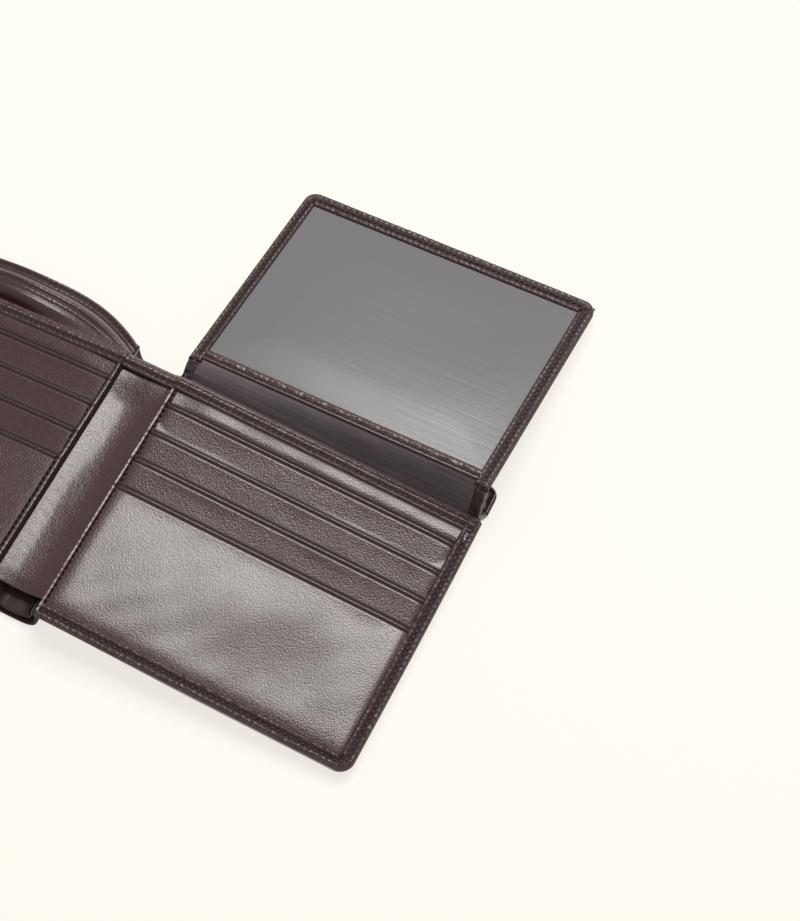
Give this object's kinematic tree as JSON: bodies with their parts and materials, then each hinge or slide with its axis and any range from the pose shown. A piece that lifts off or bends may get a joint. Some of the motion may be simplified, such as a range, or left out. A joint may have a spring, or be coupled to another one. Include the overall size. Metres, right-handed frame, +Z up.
{
  "type": "bifold wallet",
  "caption": "Open bifold leather wallet: card pockets on both halves, a soft spine over the note compartments, and a hinged flap with a clear card window.",
  "frame": {"origin": "centre of the flat underside of the spine, where the open wallet rests", "axes": "+X towards the half with the flap, +Y towards the mouth of the note compartments, +Z up, away from the surface it lies on"},
  "size_m": [0.2127, 0.1624, 0.018],
  "materials": {
    "calf_leather": "smooth glazed calf leather, dark brown",
    "edge_leather": "turned and creased leather edge, darker brown",
    "lining": "fine ribbed lining, charcoal",
    "clear_sheet": "clear film over dark lining, smooth and reflective",
    "thread": "waxed sewing thread, brown"
  },
  "bodies": {
    "spine": {"outer_cover_spine": "calf_leather", "cover_lining_spine": "lining", "note_divider_spine": "calf_leather", "spine_strip": "calf_leather", "top_hem_spine": "calf_leather", "hem_thread_spine": "thread"},
    "right_half": {"outer_cover_right": "calf_leather", "cover_lining_right": "lining", "note_divider_right": "calf_leather", "card_panel_right": "calf_leather", "edge_binding_right": "edge_leather", "edge_thread_right": "thread", "top_hem_right": "calf_leather", "hem_thread_right": "thread", "pocket_thread_right": "thread", "card_pocket_right_1": "calf_leather", "card_pocket_right_2": "calf_leather", "card_pocket_right_3": "calf_leather", "front_pocket_right": "calf_leather"},
    "left_half": {"outer_cover_left": "calf_leather", "cover_lining_left": "lining", "note_divider_left": "calf_leather", "card_panel_left": "calf_leather", "edge_binding_left": "edge_leather", "edge_thread_left": "thread", "top_hem_left": "calf_leather", "hem_thread_left": "thread", "pocket_thread_left": "thread", "card_pocket_left_1": "calf_leather", "card_pocket_left_2": "calf_leather", "card_pocket_left_3": "calf_leather", "front_pocket_left": "calf_leather"},
    "gusset": {"flap_gusset": "lining"},
    "id_flap": {"flap_back": "calf_leather", "flap_lining": "lining", "id_window": "clear_sheet", "flap_binding": "edge_leather", "window_bar": "edge_leather", "flap_thread": "thread", "bar_thread": "thread"}
  },
  "joints": [
    {"name": "right_fold", "type": "hinge", "parent": "spine", "child": "right_half", "pos_m": [0.00857, 0, 0.01024], "axis": [0, -1, 0], "range_deg": [0, 93.9]},
    {"name": "left_fold", "type": "hinge", "parent": "spine", "child": "left_half", "pos_m": [-0.00857, 0, 0.01024], "axis": [0, 1, 0], "range_deg": [0, 93.9]},
    {"name": "flap_lift", "type": "hinge", "parent": "right_half", "child": "gusset", "pos_m": [0.00857, 0.0359, 0.01024], "axis": [0.9977, 0, -0.068], "range_deg": [0, 30]},
    {"name": "flap_fold", "type": "hinge", "parent": "gusset", "child": "id_flap", "pos_m": [0.00888, 0.0385, 0.01474], "axis": [0.9997, 0.0079, -0.0227], "range_deg": [0, 160.37]}
  ],
  "couplings": [
    {"joint": "left_fold", "follows": "right_fold", "ratio": 1},
    {"joint": "flap_lift", "follows": "flap_fold", "ratio": 0.18707}
  ]
}
